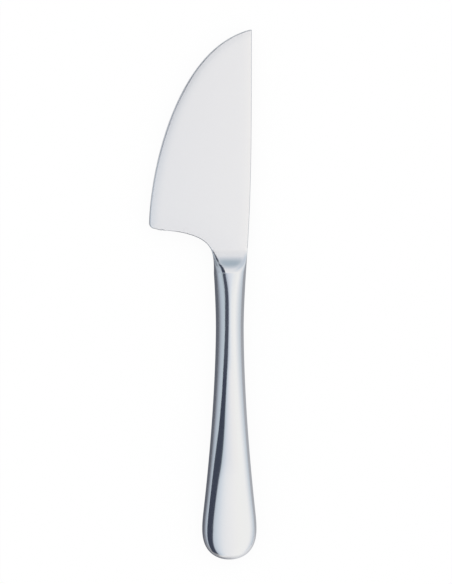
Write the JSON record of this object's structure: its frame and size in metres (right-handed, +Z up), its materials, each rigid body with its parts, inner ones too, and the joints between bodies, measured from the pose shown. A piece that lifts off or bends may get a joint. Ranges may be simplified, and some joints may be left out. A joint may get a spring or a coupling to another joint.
{
  "type": "cheese knife",
  "caption": "Cheese knife with a wide, flat, curved-edge blade forged in one with its collar and tang, in a slim-necked hollow steel handle that widens to a rounded butt.",
  "frame": {"origin": "under the middle of the knife's box, at the height of the lowest point of the handle, with the knife lying on its back face", "axes": "+Y from the butt to the tip of the blade, +Z up out of the blade's front face, -X towards the cutting edge"},
  "size_m": [0.0408, 0.2, 0.0088],
  "materials": {
    "satin_steel": "fine satin grind, polished to a mirror on the collar",
    "polished_steel": "mirror-polished stainless steel",
    "silver_braze": "silver braze, polished flush with the steel",
    "handle_cement": "rough cast resin and quartz cement"
  },
  "bodies": {
    "root": {"blade": "satin_steel", "handle_front_shell": "polished_steel", "handle_back_shell": "polished_steel", "collar_braze": "silver_braze", "seam_braze": "silver_braze", "handle_core": "handle_cement"}
  },
  "joints": []
}
